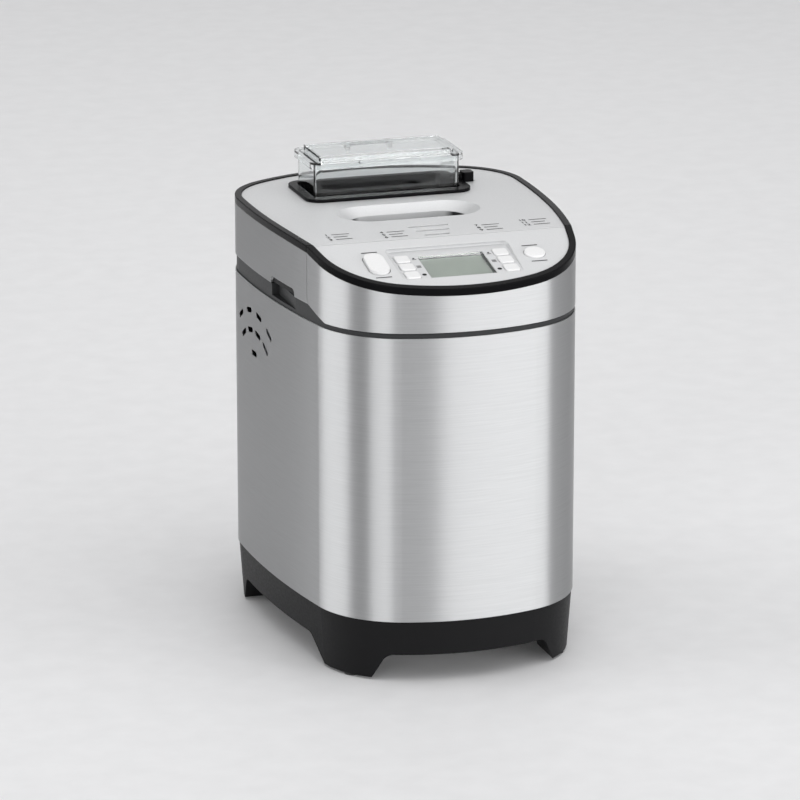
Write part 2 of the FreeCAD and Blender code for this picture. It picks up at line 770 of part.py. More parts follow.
def rocker_body(grow, w0, w1):
    u, v = ROCKER_SPOT
    flat = raised(stadium(0, 0, ROCKER_SIZE[0] + 2 * grow, ROCKER_SIZE[1] + 2 * grow, w0), w1 - w0)
    flat.rotate(V(0, 0, 0), Z_AXIS, 90)
    return on_panel(flat.translated(V(u, v, 0)))


def rocker_pivot(r, reach):
    u, v = ROCKER_SPOT
    return on_panel(cross_rod(r, u - reach, u + reach, v, ROCKER_PIVOT_W))


def pocket_outline(grow, w):
    half_u = POCKET_HALF_U + grow
    return rounded_rect(-half_u, half_u, -grow, POCKET_LENGTH + grow, 2 * KEY_R + grow, w)


def control_panel():
    plate = front_half(top_layer(-TRIM_W - FIT, 0, PLATE_T))
    edge = FRAME_WALL
    pad_half = POCKET_HALF_U + edge
    pad = in_pocket(block(-pad_half, pad_half, 0, POCKET_LENGTH + edge, -POCKET_FLOOR_T, POCKET_DEPTH / 2))
    post_u, post_r = BOARD_POST
    post_tops = [(s * post_u, v) for s in (-1, 1) for v in (post_r, POCKET_LENGTH - 2 * post_r)]
    posts = [in_pocket(rod(post_r, BOARD_W + BOARD_T, 0, u, v)) for u, v in post_tops]
    half = ROCKER_SIZE[1] / 2 + ROCKER_GAP
    ru, rv = ROCKER_SPOT
    depth = ROCKER_PIVOT_W - 2 * ROCKER_PIN_R
    lugs = [
        on_panel(block(ru + s * half - edge * (s < 0), ru + s * half + edge * (s > 0),
                       rv - edge, rv + edge, depth, 0))
        for s in (-1, 1)]
    panel = fuse([plate, pad.common(under_top(0)), *posts, *[lug.common(under_top(0)) for lug in lugs]])
    pocket = in_pocket(Part.makeLoft(
        [pocket_outline(0, 0), pocket_outline(POCKET_SLOPE, POCKET_DEPTH)], True, True))
    holes = [key_cap(u, v, GAP, -FAR / 10, FAR) for u, v in key_spots()]
    holes.append(lcd_plate(GAP, -FAR / 10, FAR))
    holes.append(on_panel(rod(START_R + GAP, -FAR / 10, FAR, *START_SPOT)))
    holes.append(rocker_body(ROCKER_GAP, -FAR / 10, FAR))
    holes.append(rocker_pivot(ROCKER_PIN_R + RUN_FIT, half + edge))
    return cut_all(panel, [pocket] + holes)


def key(u, v):
    cap = key_cap(u, v, 0, KEY_FOOT, KEY_PROUD)
    crown = max(cap.Faces, key=lambda face: face.CenterOfMass.z)
    cap = cap.makeFillet(KEY_EDGE_R, crown.Edges)
    flange_top = -POCKET_FLOOR_T - GAP
    return fuse([cap, key_cap(u, v, FLANGE_W, flange_top - FLANGE_H, flange_top)])


def start_button():
    u, v = START_SPOT
    foot = KEY_FOOT + pocket_place(u, v).z * -1
    cap = rod(START_R, foot, START_PROUD, u, v)
    cap = cap.makeFillet(START_PROUD / 2, [e for e in cap.Edges if e.BoundBox.ZMin > 0])
    flange_top = -PLATE_T - GAP
    flange = rod(START_R + FLANGE_W, flange_top - FLANGE_H, flange_top, u, v)
    return on_panel(fuse([cap, flange]))


def program_rocker():
    foot = KEY_FOOT - pocket_place(*ROCKER_SPOT).z
    reach = ROCKER_SIZE[1] / 2 + ROCKER_GAP + ROCKER_PIN_L
    return fuse([rocker_body(0, foot, ROCKER_PROUD), rocker_pivot(ROCKER_PIN_R, reach)])


def display_lens():
    return lcd_plate(0, -LENS_T - LENS_SINK, -LENS_SINK)


def display_module():
    top = -POCKET_FLOOR_T - GAP
    return lcd_plate(-FLANGE_W, BOARD_W + BOARD_T, top)


def control_board():
    wide, v0, v1 = BOARD_WIDE
    narrow, n0, n1 = BOARD_LONG
    sheet = [
        block(-wide, wide, v0, v1, BOARD_W, BOARD_W + BOARD_T),
        block(-narrow, narrow, n0, n1, BOARD_W, BOARD_W + BOARD_T),
    ]
    return fuse([in_pocket(fuse(sheet))] + tact_switches())


def tact_switches():
    spots = key_spots()
    start = pocket_place(*START_SPOT)
    spots.append((start.x, start.y))
    for side in (-1, 1):
        end = pocket_place(ROCKER_SPOT[0], ROCKER_SPOT[1] + side * ROCKER_SIZE[0] / 3)
        spots.append((end.x, end.y))
    w = BOARD_W + BOARD_T
    half = SWITCH_SIZE / 2
    switches = []
    for u, v in spots:
        body = block(u - half, u + half, v - half, v + half, w, w + SWITCH_H)
        stem = rod(SWITCH_STEM_R, w + SWITCH_H, w + SWITCH_H + SWITCH_STEM_H, u, v)
        switches.append(in_pocket(fuse([body, stem])))
    return switches


# Lid

def window_outline(size, grow, z):
    return stadium(0, WINDOW_Y, size[0] + 2 * grow, size[1] + 2 * grow, z)


def window_block(size, grow, z0, z1):
    return raised(window_outline(size, grow, z0), z1 - z0)


def box_block(grow, z0, z1):
    return rounded_block(
        -BOX_HALF_X - grow, BOX_HALF_X + grow, BOX_Y[0] - grow, BOX_Y[1] + grow,
        max(BOX_R + grow, BOX_R_MIN), z0, z1)


SLEEVE_IN = SLEEVE_GAP
SLEEVE_OUT = SLEEVE_GAP + SLEEVE_T


def lid_band():
    strip = rear_half(steel_band())
    notch = rounded_block(NOTCH_Y[0], NOTCH_Y[1], 0, 2 * NOTCH_TOP, NOTCH_R, -FAR, FAR)
    turn = FreeCAD.Rotation(Y_AXIS, Z_AXIS, X_AXIS, "XYZ")
    cutter = notch.transformed(FreeCAD.Placement(V(0, 0, -NOTCH_TOP), turn).toMatrix())
    return strip.cut(cutter)


def lid_trim():
    return rear_half(trim_bead())


def lid_frame():
    frame = fuse([rim_frame(), seam_wall(SEAM_Y + SEAM_GAP / 2, WRAP_TOP)])
    return rear_half(frame).cut(block(-FAR, FAR, -FAR, FAR, 0, LINER_Z + LINER_T))


def lid_top():
    plate = top_layer(-TRIM_W - FIT, 0, PLATE_T)
    dish_z = TOP_Z - WINDOW_DISH
    boss = window_block(WINDOW_RIM, BAND_T, dish_z, TOP_Z).common(under_top(0))
    plate = rear_half(fuse([plate, boss]))
    dish = Part.makeLoft(
        [window_outline(WINDOW_CLEAR, 0, dish_z), window_outline(WINDOW_RIM, 0, TOP_Z)], True, True)
    cutters = [dish, box_block(SLEEVE_OUT + FIT, dish_z, FAR)]
    for row, length in enumerate(SLOT_LENGTHS):
        y = SEAM_Y + SLOT_ROOM * (SLOT_FIRST + SLOT_PITCH * row)
        cutters.append(raised(stadium(0, y, length, TOP_SLOT_W, dish_z), 2 * WINDOW_DISH))
    half = LATCH_TONGUE_HALF_W + GAP
    cutters.append(block(
        LATCH_TONGUE[0] - GAP, LATCH_TONGUE[1] + LATCH_TRAVEL + GAP,
        SOLENOID_Y - half, SOLENOID_Y + half, dish_z, FAR))
    return cut_all(plate, cutters)


def plug(shrink, z0, z1):
    return mouth(-PLUG_GAP - shrink, z0, z1)


def lid_liner():
    plate = rear_half(prism(-(BAND_T + FIT), LINER_Z, LINER_Z + LINER_T))
    liner = fuse([plate, plug(0, PLUG_Z, LINER_Z)]).cut(plug(PLUG_T, PLUG_Z + PLUG_T, FAR))
    liner = liner.cut(box_block(SLEEVE_OUT + FIT, 0, FAR))
    liner = liner.cut(window_block(WINDOW_CLEAR, WINDOW_TUBE_T + FIT, 0, FAR))
    x0 = HINGE_LUG[1] + GAP
    x1 = x0 + HINGE_ARM_W
    barrel = cross_rod(HINGE_R, x0, x1, HINGE_Y, HINGE_Z)
    web = block(x0, x1, HINGE_Y - HINGE_R - FRAME_WALL, HINGE_Y, HINGE_Z - HINGE_R / 2, SILL_REAR_Z - GAP)
    root = block(x0, x1, HINGE_Y - HINGE_R - FRAME_WALL, HINGE_Y - FRAME_WALL, HINGE_Z, LINER_Z + LINER_T)
    root = root.common(prism(-(BAND_T + FIT), 0, FAR))
    arms = both_sides(barrel) + both_sides(web) + both_sides(root)
    pin = cross_rod(HINGE_PIN_R + RUN_FIT, -FAR, FAR, HINGE_Y, HINGE_Z)
    return fuse([liner] + arms).cut(pin)


def lid_gasket():
    z0 = SILL_REAR_Z - SILL_GAP + GAP
    edge = FRAME_WALL / 2
    return mouth(edge + GASKET_W / 2, z0, LINER_Z).cut(mouth(edge - GASKET_W / 2, z0, LINER_Z))


def window_tube():
    top = TOP_Z - WINDOW_DISH
    wall = window_block(WINDOW_CLEAR, WINDOW_TUBE_T, SLEEVE_Z, top)
    wall = wall.cut(window_block(WINDOW_CLEAR, 0, SLEEVE_Z, top))
    ledges = []
    for z in (SLEEVE_Z, OUTER_GLASS_Z - WINDOW_TUBE_T):
        ledge = window_block(WINDOW_CLEAR, WINDOW_TUBE_T, z, z + WINDOW_TUBE_T)
        ledges.append(ledge.cut(window_block(WINDOW_CLEAR, -WINDOW_LEDGE_W, z, z + WINDOW_TUBE_T)))
    return fuse([wall] + ledges)


def window_panes():
    levels = (SLEEVE_Z + WINDOW_TUBE_T, OUTER_GLASS_Z)
    return Part.makeCompound([window_block(WINDOW_CLEAR, -FIT, z, z + GLASS_T) for z in levels])


# Ingredient dispenser

def dispenser_seat():
    flange = rounded_block(-SEAT_HALF_X, SEAT_HALF_X, SEAT_Y[0], SEAT_Y[1], SEAT_R, TOP_Z, TOP_Z + SEAT_H)
    sleeve = box_block(SLEEVE_OUT, SLEEVE_Z, TOP_Z)
    seat = fuse([flange, sleeve]).cut(box_block(SLEEVE_IN, BOX_Z, FAR))
    seat = seat.cut(box_block(SLEEVE_IN - SLEEVE_STEP, 0, FAR))
    return seat.cut(cross_rod(PLUNGER_R + GAP, 0, FAR, SOLENOID_Y, SOLENOID_Z))


def dispenser_box():
    walls = box_block(0, BOX_Z, BOX_TOP).cut(box_block(-BOX_T, BOX_Z + BOX_FLOOR_T, BOX_TOP))
    door = rounded_block(
        -BOX_DOOR_HALF_X, BOX_DOOR_HALF_X, BOX_DOOR_Y[0], BOX_DOOR_Y[1], BOX_R, BOX_Z, BOX_Z + BOX_FLOOR_T)
    walls = walls.cut(door)
    x0 = FLAP_BARREL_HALF + GAP
    lug = cross_rod(FLAP_BARREL_R, x0, x0 + FLAP_LUG_W, FLAP_HINGE_Y, FLAP_HINGE_Z)
    stem = block(
        x0, x0 + FLAP_LUG_W, FLAP_HINGE_Y - FLAP_BARREL_R, FLAP_HINGE_Y + FLAP_BARREL_R, FLAP_HINGE_Z, BOX_Z)
    e0 = COVER_KNUCKLE + GAP
    ear = cross_rod(COVER_HINGE_R, e0, e0 + COVER_EAR_W, COVER_HINGE_Y, COVER_HINGE_Z)
    arm = polygon([
        V(e0, BOX_Y[1], BOX_TOP - 2 * COVER_HINGE_R), V(e0, COVER_HINGE_Y + COVER_HINGE_R, COVER_HINGE_Z),
        V(e0, COVER_HINGE_Y, BOX_TOP), V(e0, BOX_Y[1], BOX_TOP),
    ]).extrude(V(COVER_EAR_W, 0, 0))
    extras = []
    for shape in (lug, stem, ear, arm):
        extras += both_sides(shape)
    pins = [
        cross_rod(FLAP_PIN_R, -FAR, FAR, FLAP_HINGE_Y, FLAP_HINGE_Z),
        cross_rod(COVER_PIN_R, -FAR, FAR, COVER_HINGE_Y, COVER_HINGE_Z),
    ]
    return cut_all(fuse([walls] + extras), pins)


def dispenser_pins():
    flap_end = FLAP_BARREL_HALF + GAP + FLAP_LUG_W
    cover_end = COVER_KNUCKLE + GAP + COVER_EAR_W
    return Part.makeCompound([
        cross_rod(FLAP_PIN_R, -flap_end, flap_end, FLAP_HINGE_Y, FLAP_HINGE_Z),
        cross_rod(COVER_PIN_R, -cover_end, cover_end, COVER_HINGE_Y, COVER_HINGE_Z),
    ])


def dispenser_flap():
    z1 = BOX_Z - GAP
    overlap = BOX_R / 4
    plate = rounded_block(
        -BOX_DOOR_HALF_X + overlap, BOX_DOOR_HALF_X - overlap,
        BOX_DOOR_Y[0] - overlap, BOX_DOOR_Y[1], overlap, z1 - FLAP_T, z1)
    barrel = cross_rod(FLAP_BARREL_R, -FLAP_BARREL_HALF, FLAP_BARREL_HALF, FLAP_HINGE_Y, FLAP_HINGE_Z)
    half = FLAP_BARREL_HALF
    root = FLAP_T / 2
    web = block(-half, half, BOX_DOOR_Y[1] - root, FLAP_HINGE_Y, z1 - FLAP_T, FLAP_HINGE_Z + root)
    pin = cross_rod(FLAP_PIN_R + RUN_FIT, -FAR, FAR, FLAP_HINGE_Y, FLAP_HINGE_Z)
    return fuse([plate, barrel, web]).cut(pin)


def dispenser_cover():
    z0 = BOX_TOP + GAP
    z1 = z0 + COVER_T
    slab = box_block(COVER_OVER, z0 - COVER_SKIRT, z1)
    slab = slab.cut(box_block(COVER_OVER - COVER_T + GAP, 0, z0))
    slab = slab.cut(block(-FAR, FAR, BOX_Y[1], FAR, 0, z0))
    dome = box_block(COVER_OVER - COVER_PANEL_IN, z1, COVER_TOP)
    tab_x, tab_y = COVER_TAB
    front = BOX_Y[0] - COVER_OVER
    tab = rounded_block(-tab_x, tab_x, front - tab_y, front + tab_y, tab_y / 2, z0, z1)
    barrel = cross_rod(COVER_HINGE_R, -COVER_KNUCKLE, COVER_KNUCKLE, COVER_HINGE_Y, COVER_HINGE_Z)
    bridge = block(-COVER_KNUCKLE, COVER_KNUCKLE, BOX_Y[1], COVER_HINGE_Y, z0, z1)
    cover = fuse([slab, dome, tab, bridge])
    cover = cover.cut(box_block(COVER_OVER - COVER_PANEL_IN - COVER_T, z0, COVER_TOP - COVER_T))
    e0 = COVER_KNUCKLE
    notch = block(e0, e0 + COVER_EAR_W + 2 * GAP, BOX_Y[1], FAR, z0 - COVER_SKIRT, z1)
    cover = cut_all(cover, both_sides(notch))
    pin = cross_rod(COVER_PIN_R + RUN_FIT, -FAR, FAR, COVER_HINGE_Y, COVER_HINGE_Z)
    return fuse([cover, barrel]).cut(pin)


def solenoid():
    x0, x1 = SOLENOID_X
    coil = cross_rod(COIL_R - GAP, x0, x1, SOLENOID_Y, SOLENOID_Z)
    low = SOLENOID_Z - COIL_R - YOKE_T
    ends = [
        block(x, x + YOKE_T, SOLENOID_Y - COIL_R, SOLENOID_Y + COIL_R, low, SOLENOID_Z + COIL_R)
        for x in (x0, x1 - YOKE_T)]
    foot = block(x0, x1, SOLENOID_Y - COIL_R, SOLENOID_Y + COIL_R, low, low + YOKE_T)
    bore = cross_rod(PLUNGER_R + GAP, x0, PLUNGER_X[1] + GAP, SOLENOID_Y, SOLENOID_Z)
    return fuse([coil, foot, solenoid_bracket()] + ends).cut(bore)


def solenoid_bracket():
    top = SOLENOID_Z - COIL_R - YOKE_T
    x0 = SOLENOID_X[0]
    x1 = CHAMBER_HALF_X - 2 * PLUG_T - PLUG_GAP
    inner = COIL_R - YOKE_T
    outer = block(x0, x1, SOLENOID_Y - COIL_R, SOLENOID_Y + COIL_R, SLEEVE_Z, top)
    return outer.cut(block(x0, x1, SOLENOID_Y - inner, SOLENOID_Y + inner, 0, top - YOKE_T))


def solenoid_plunger():
    return cross_rod(PLUNGER_R, PLUNGER_X[0], PLUNGER_X[1], SOLENOID_Y, SOLENOID_Z)


def release_latch():
    y0 = SOLENOID_Y - LATCH_HALF_W
    y1 = SOLENOID_Y + LATCH_HALF_W
    body = rounded_block(LATCH_X[0], LATCH_X[1], y0, y1, BAND_T, TOP_Z + GAP, TOP_Z + LATCH_H)
    nose_z = TOP_Z + SEAT_H + GAP
    nose = block(
        BOX_HALF_X + GAP, LATCH_X[0] + BAND_T, y0 + BAND_T, y1 - BAND_T, nose_z, nose_z + LATCH_NOSE_H)
    tongue = block(
        LATCH_TONGUE[0], LATCH_TONGUE[1], SOLENOID_Y - LATCH_TONGUE_HALF_W, SOLENOID_Y + LATCH_TONGUE_HALF_W,
        TOP_Z - PLATE_T - FLANGE_H, TOP_Z + BAND_T)
    return fuse([body, nose, tongue])


# Baking chamber

def chamber_block(shrink, z0, z1):
    return mouth(-MOUTH_MARGIN - shrink, z0, z1)


def wall_bore(r, x, z):
    return deep_rod(r, CHAMBER_Y[0] - CHAMBER_T, CHAMBER_Y[0] + 2 * CHAMBER_T, x, z)


def baking_chamber():
    walls = chamber_block(0, CHAMBER_Z, DECK_Z).cut(chamber_block(CHAMBER_T, CHAMBER_Z + CHAMBER_T, DECK_Z))
    flange = chamber_block(-CHAMBER_FLANGE, DECK_Z - FLANGE_T, DECK_Z).cut(chamber_block(0, 0, FAR))
    bores = [rod(BUSH_R, 0, BASE_TOP + CHAMBER_Z, 0, PAN_Y), wall_bore(SENSOR_R, SENSOR_X, SENSOR_Z)]
    bores += both_sides(wall_bore(BUSHING_R, TERMINAL_X, ELEMENT_Z))
    return cut_all(fuse([walls, flange]), bores)


def heating_element():
    half_x, half_y = ELEMENT_HALF
    front = PAN_Y - half_y
    rear = PAN_Y + half_y
    z = ELEMENT_Z
    spots = [
        (-TERMINAL_X, TERMINAL_Y), (-TERMINAL_X, front), (-half_x, front), (-half_x, rear),
        (half_x, rear), (half_x, front), (TERMINAL_X, front), (TERMINAL_X, TERMINAL_Y),
    ]
    radii = [TERMINAL_BEND] + [ELEMENT_BEND] * 4 + [TERMINAL_BEND]
    return round_bar(rounded_path([V(x, y, z) for x, y in spots], radii), ELEMENT_R)


def element_bushings():
    wall = CHAMBER_Y[0]
    bushes = []
    for x in (-TERMINAL_X, TERMINAL_X):
        neck = deep_rod(BUSHING_R, wall, wall + 2 * CHAMBER_T, x, ELEMENT_Z)
        flange = deep_rod(BUSHING_FLANGE_R, wall - 5 * CHAMBER_T, wall, x, ELEMENT_Z)
        bushes.append(fuse([neck, flange]).cut(deep_rod(ELEMENT_R + RUN_FIT, -FAR, FAR, x, ELEMENT_Z)))
    return bushes


def element_clips():
    x = ELEMENT_HALF[0]
    r = ELEMENT_R + RUN_FIT
    y0 = PAN_Y - CLIP_W / 2
    y1 = PAN_Y + CLIP_W / 2
    eye = deep_rod(r + CLIP_T, y0, y1, x, ELEMENT_Z)
    wall_x = CHAMBER_HALF_X - CHAMBER_T
    arm = block(x, wall_x, y0, y1, ELEMENT_Z - CLIP_T / 2, ELEMENT_Z + CLIP_T / 2)
    foot = block(wall_x - CLIP_T, wall_x, y0, y1, ELEMENT_Z - CLIP_W, ELEMENT_Z + CLIP_W)
    return both_sides(fuse([eye, arm, foot]).cut(deep_rod(r, -FAR, FAR, x, ELEMENT_Z)))


def element_mounts():
    return Part.makeCompound(element_bushings() + element_clips())


def temperature_sensor():
    wall = CHAMBER_Y[0]
    probe = deep_rod(SENSOR_R, wall - SENSOR_ENDS[0], wall + SENSOR_ENDS[1], SENSOR_X, SENSOR_Z)
    flange = deep_rod(2 * SENSOR_R, wall - SENSOR_FLANGE_T, wall, SENSOR_X, SENSOR_Z)
    return fuse([probe, flange])


def pan_socket():
    z = CHAMBER_Z + CHAMBER_T
    plate = tube(SOCKET_PLATE_R, BUSH_R + GAP, z, z + SOCKET_PLATE_T, 0, PAN_Y)
    inner = SKIRT_R + GAP
    wall = tube(inner + SOCKET_T, inner, z, z + SOCKET_H, 0, PAN_Y)
    return fuse([plate, wall])


# Drive

def drive_bush():
    sleeve = rod(BUSH_R, BUSH_Z[0], BUSH_Z[1], 0, PAN_Y)
    flange = rod(BUSH_FLANGE_R, CHAMBER_Z - BUSH_FLANGE_T, CHAMBER_Z, 0, PAN_Y)
    return fuse([sleeve, flange]).cut(rod(SHAFT_R + RUN_FIT, 0, FAR, 0, PAN_Y))


def drive_shaft():
    return fuse([rod(SHAFT_R, SHAFT_Z[0], SHAFT_Z[1], 0, PAN_Y), drive_dog()])


def pulley(radius, bore, y):
    z0, z1 = PULLEY_Z
    drum = rod(radius, z0 - PULLEY_CHEEK, z1 + PULLEY_CHEEK, 0, y)
    cheeks = [rod(radius + PULLEY_CHEEK_R, z, z + PULLEY_CHEEK, 0, y) for z in (z0 - PULLEY_CHEEK, z1)]
    return fuse([drum] + cheeks).cut(rod(bore, 0, FAR, 0, y))


def big_pulley():
    wheel = pulley(BIG_PULLEY_R, SHAFT_R, PAN_Y)
    z = PULLEY_Z[0] + 3 * PULLEY_CHEEK
    dish = tube(BIG_PULLEY_R - 2 * PULLEY_CHEEK_R, 2 * SHAFT_R, z, FAR, 0, PAN_Y)
    spoke_holes = []
    for turn in range(6):
        a = math.radians(60 * turn)
        r = BIG_PULLEY_R / 2 + SHAFT_R / 2
        spoke_holes.append(rod(SHAFT_R + PULLEY_CHEEK, 0, FAR, r * math.cos(a), PAN_Y + r * math.sin(a)))
    return cut_all(wheel.cut(dish), spoke_holes)


def motor_pulley():
    return pulley(SMALL_PULLEY_R, MOTOR_SHAFT_R, MOTOR_Y)


def belt_loop(grow):
    """A flat belt's loop round the two pulleys, standing off them by grow."""
    z0, z1 = PULLEY_Z
    reach = PAN_Y - MOTOR_Y
    lean = math.degrees(math.asin((BIG_PULLEY_R - SMALL_PULLEY_R) / reach))
    big = Part.makeCircle(BIG_PULLEY_R + grow, V(0, PAN_Y, z0 + GAP), Z_AXIS, -lean, 180 + lean)
    small = Part.makeCircle(SMALL_PULLEY_R + grow, V(0, MOTOR_Y, z0 + GAP), Z_AXIS, 180 + lean, 360 - lean)
    return raised(joined([big, small]), z1 - z0 - 2 * GAP)


def drive_belt():
    return belt_loop(GAP + BELT_T).cut(belt_loop(GAP))


def drive_dog():
    x0, x1, half_y, height = DOG_LUG
    disc = rod(DOG_R, DOG_Z[0], DOG_Z[1], 0, PAN_Y)
    lug = block(x0, x1, PAN_Y - half_y, PAN_Y + half_y, DOG_Z[0], DOG_Z[1] + height)
    return fuse([disc] + both_sides(lug))


def motor_bracket():
    sheet = rounded_block(
        -BRACKET_HALF_X, BRACKET_HALF_X, BRACKET_Y[0], BRACKET_Y[1], POST_R, BRACKET_Z, BRACKET_Z + BRACKET_T)
    return sheet.cut(rod(SHIELD_R / 2, 0, FAR, 0, MOTOR_Y))


def motor_frame():
    return fuse([motor_stator()] + motor_shields())


def motor_stator():
    r = MOTOR_R
    stack = rounded_block(-r, r, MOTOR_Y - r, MOTOR_Y + r, r / 2, STATOR_Z[0], STATOR_Z[1])
    return stack.cut(rod(SHIELD_R / 2 + GAP, 0, FAR, 0, MOTOR_Y))


def motor_shields():
    bore = rod(MOTOR_SHAFT_R + RUN_FIT, 0, FAR, 0, MOTOR_Y)
    lower = rod(SHIELD_R, STATOR_Z[0] - SHIELD_H, STATOR_Z[0], 0, MOTOR_Y)
    lower = lower.cut(rod(SHIELD_R - SHIELD_T, STATOR_Z[0] - SHIELD_H + SHIELD_T, STATOR_Z[0], 0, MOTOR_Y))
    upper = rod(SHIELD_R, STATOR_Z[1], STATOR_Z[1] + SHIELD_H, 0, MOTOR_Y)
    upper = upper.cut(rod(SHIELD_R - SHIELD_T, STATOR_Z[1], STATOR_Z[1] + SHIELD_H - SHIELD_T, 0, MOTOR_Y))
    return [lower.cut(bore), upper.cut(bore)]


def motor_rotor():
    top = STATOR_Z[1] + SHIELD_H
    core = rod(SHIELD_R / 2, STATOR_Z[0], STATOR_Z[1], 0, MOTOR_Y)
    shaft = rod(MOTOR_SHAFT_R, SHAFT_Z[0], top + MOTOR_FAN_H + 2 * FAN_T, 0, MOTOR_Y)
    return fuse([core, shaft, motor_fan()])


def motor_fan():
    z = STATOR_Z[1] + SHIELD_H + FAN_T
    hub = rod(2 * MOTOR_SHAFT_R, z, z + MOTOR_FAN_H, 0, MOTOR_Y)
    disc = rod(MOTOR_FAN_R, z, z + FAN_T, 0, MOTOR_Y)
    blades = []
    for n in range(FAN_BLADES):
        y0 = MOTOR_Y - BLADE_HALF_T
        y1 = MOTOR_Y + BLADE_HALF_T
        blade = block(MOTOR_SHAFT_R, MOTOR_FAN_R - FAN_T, y0, y1, z, z + MOTOR_FAN_H)
        blade.rotate(V(0, MOTOR_Y, 0), Z_AXIS, 360 / FAN_BLADES * n)
        blades.append(blade)
    return fuse([hub, disc] + blades)


def power_board():
    x = POWER_BOARD_X
    z = BRACKET_Z + BRACKET_T
    sheet = block(x, x + BOARD_T, POWER_BOARD_Y[0], POWER_BOARD_Y[1], z, z + POWER_BOARD_H)
    return fuse([sheet] + power_parts())


def power_parts():
    corner = V(POWER_BOARD_X + BOARD_T, POWER_BOARD_Y[0], BRACKET_Z + BRACKET_T)
    transformer = Part.makeBox(*TRANSFORMER_SIZE, corner + V(0, *TRANSFORMER_YZ))
    relay = Part.makeBox(*RELAY_SIZE, corner + V(0, *RELAY_YZ))
    can = Part.makeCylinder(SMOOTHING_R, SMOOTHING_H, corner + V(0, *SMOOTHING_YZ), X_AXIS)
    return [transformer, relay, can]


def motor_capacitor():
    z = ARCH_Z + FLOOR_T
    can = rod(CAPACITOR_R, z, z + CAPACITOR_H, CAPACITOR_X, CAPACITOR_Y)
    return can.makeFillet(CAPACITOR_EDGE_R, [e for e in can.Edges if e.BoundBox.ZMin > z + GAP])


# Pan and kneader

def pan_outline(inset, z):
    half_x = PAN_HALF[0] - inset
    half_y = PAN_HALF[1] - inset
    return rounded_rect(-half_x, half_x, PAN_Y - half_y, PAN_Y + half_y, PAN_R - inset, z)


def pan_body(shrink, z0):
    return Part.makeLoft([pan_outline(PAN_DRAFT + shrink, z0), pan_outline(shrink, PAN_RIM_Z)], True, True)


def bread_pan():
    outer = pan_body(0, PAN_Z)
    lip_z = PAN_RIM_Z - PAN_T
    lip = raised(pan_outline(-PAN_LIP, lip_z), PAN_T)
    ear_x = PAN_HALF[0] + EAR_T
    ear = block(PAN_HALF[0] - PAN_T, ear_x, PAN_Y - EAR_HALF_Y, PAN_Y + EAR_HALF_Y, PAN_RIM_Z - EAR_H, lip_z)
    pan = fuse([outer, lip] + both_sides(ear)).cut(pan_body(PAN_T, PAN_Z + PAN_T))
    eye = cross_rod(BAIL_R + RUN_FIT, PAN_HALF[0] + BAIL_R / 10, FAR, PAN_Y, BAIL_Z)
    return cut_all(pan, both_sides(eye) + [rod(PAN_BUSH_R, 0, PAN_Z + 2 * PAN_T, 0, PAN_Y)])


def pan_base():
    z0 = CHAMBER_Z + CHAMBER_T + SOCKET_PLATE_T + SEAT_GAP
    return tube(SKIRT_R, SKIRT_R - SKIRT_T, z0, PAN_Z, 0, PAN_Y)


def pan_bush():
    sleeve = rod(PAN_BUSH_R, PAN_Z - PAN_BUSH_DROP, PAN_Z + 2 * PAN_T, 0, PAN_Y)
    flange = rod(PAN_BUSH_FLANGE_R, PAN_Z - PAN_BUSH_FLANGE_T, PAN_Z, 0, PAN_Y)
    return fuse([sleeve, flange]).cut(rod(SPINDLE_R + RUN_FIT, 0, FAR, 0, PAN_Y))


def pan_bail():
    front = PAN_Y - BAIL_REACH
    tip = PAN_HALF[0] + 2 * EAR_T / 5
    spots = [
        (-tip, PAN_Y), (-BAIL_X, PAN_Y), (-BAIL_X, front), (BAIL_X, front), (BAIL_X, PAN_Y), (tip, PAN_Y)]
    radii = [BAIL_R * 1.3, BAIL_BEND, BAIL_BEND, BAIL_R * 1.3]
    return round_bar(rounded_path([V(x, y, BAIL_Z) for x, y in spots], radii), BAIL_R)


def pan_spindle():
    return fuse([rod(SPINDLE_R, SPINDLE_Z[0], SPINDLE_Z[1], 0, PAN_Y), spindle_wing()])


def spindle_wing():
    z0, z1 = WING_Z
    bar = block(-WING_HALF_T, WING_HALF_T, PAN_Y - WING_REACH, PAN_Y + WING_REACH, z0, z1)
    hub = rod(2 * WING_HALF_T, z0, z1, 0, PAN_Y)
    return fuse([bar, hub])


def kneading_paddle():
    z0 = PAN_Z + 2 * PAN_T + GAP
    z1 = z0 + PADDLE_H
    hub = rod(PADDLE_HUB_R, z0, z1, 0, PAN_Y)
    half = PADDLE_T / 2
    low = z0 + PADDLE_T
    root = [(-half, z0), (half, z0), (half, z1), (-half, z1)]
    tip = [(-half / 2, z0), (half, z0), (half, low), (0, low)]
    sections = []
    for x, corners in ((0, root), (PADDLE_REACH, tip)):
        sections.append(Part.makePolygon([V(x, PAN_Y + y, z) for y, z in corners + corners[:1]]))
    blade = Part.makeLoft(sections, True, True)
    return fuse([hub, blade]).cut(rod(SPINDLE_R, 0, FAR, 0, PAN_Y))


PARTS = [
    base, rubber_feet, base_screws, steel_wrap, top_frame, hinge_pins, cord_gland,
    control_housing, control_band, control_trim, control_panel, start_button, program_rocker,
    display_lens, display_module, control_board,
    lid_band, lid_trim, lid_frame, lid_top, lid_liner, lid_gasket, window_tube, window_panes,
    dispenser_seat, dispenser_box, dispenser_pins, dispenser_flap, dispenser_cover,
    solenoid, solenoid_plunger, release_latch,
    baking_chamber, heating_element, element_mounts, temperature_sensor, pan_socket,
    drive_bush, drive_shaft, big_pulley, drive_belt,
    motor_bracket, motor_frame, motor_rotor, motor_pulley, power_board, motor_capacitor,
    bread_pan, pan_base, pan_bush, pan_bail, pan_spindle, kneading_paddle,
]

